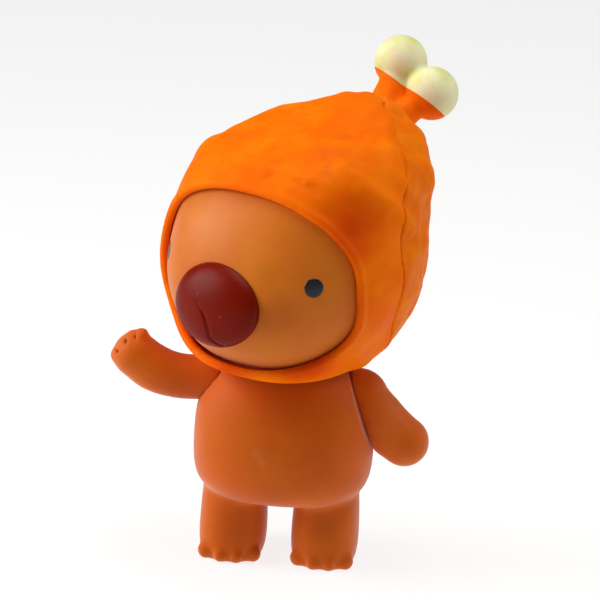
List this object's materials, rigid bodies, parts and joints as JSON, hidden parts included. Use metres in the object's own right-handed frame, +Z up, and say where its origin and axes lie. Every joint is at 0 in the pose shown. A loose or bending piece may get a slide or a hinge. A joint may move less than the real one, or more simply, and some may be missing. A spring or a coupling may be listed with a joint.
{
  "type": "vinyl art toy",
  "caption": "Free-standing vinyl art toy: a small bear-like animal in an orange pixie hood tipped with cream pompoms, whose head and arms turn on snap-in pegs.",
  "frame": {"origin": "centre of the whole figure's footprint box, on the surface that the soles stand on", "axes": "+Z up, -Y the way the torso faces, +X towards the figure's left hand; the head looks 32 degrees to the figure's right at rest"},
  "size_m": [0.0602, 0.061, 0.0958],
  "materials": {
    "skin_vinyl": "caramel rotocast vinyl, satin",
    "face_vinyl": "light caramel vinyl, satin, sprayed",
    "nose_vinyl": "dark oxblood vinyl, soft gloss",
    "hood_vinyl": "orange vinyl, satin, lightly mottled",
    "pompom_vinyl": "cream paint over vinyl, satin",
    "peg_plastic": "natural white moulded plastic"
  },
  "bodies": {
    "torso": {"torso_and_legs_shell": "skin_vinyl"},
    "head": {"head_shell": "face_vinyl", "nose": "nose_vinyl", "hood_front": "hood_vinyl", "hood_back": "hood_vinyl", "pompom_stem": "hood_vinyl", "pompom_pair": "pompom_vinyl", "neck_peg": "peg_plastic"},
    "right_arm": {"raised_arm_shell": "skin_vinyl", "raised_arm_peg": "peg_plastic"},
    "left_arm": {"hanging_arm_shell": "skin_vinyl", "hanging_arm_peg": "peg_plastic"}
  },
  "joints": [
    {"name": "neck_turn", "type": "hinge", "parent": "torso", "child": "head", "pos_m": [0.00324, -0.00623, 0.039], "axis": [0, 0, 1], "continuous": true},
    {"name": "right_shoulder", "type": "hinge", "parent": "torso", "child": "right_arm", "pos_m": [-0.00996, -0.00623, 0.0334], "axis": [-0.9397, 0, 0.342], "range_deg": [-90, 90]},
    {"name": "left_shoulder", "type": "hinge", "parent": "torso", "child": "left_arm", "pos_m": [0.01644, -0.00623, 0.0334], "axis": [0.9397, 0, 0.342], "range_deg": [-85, 85]}
  ]
}
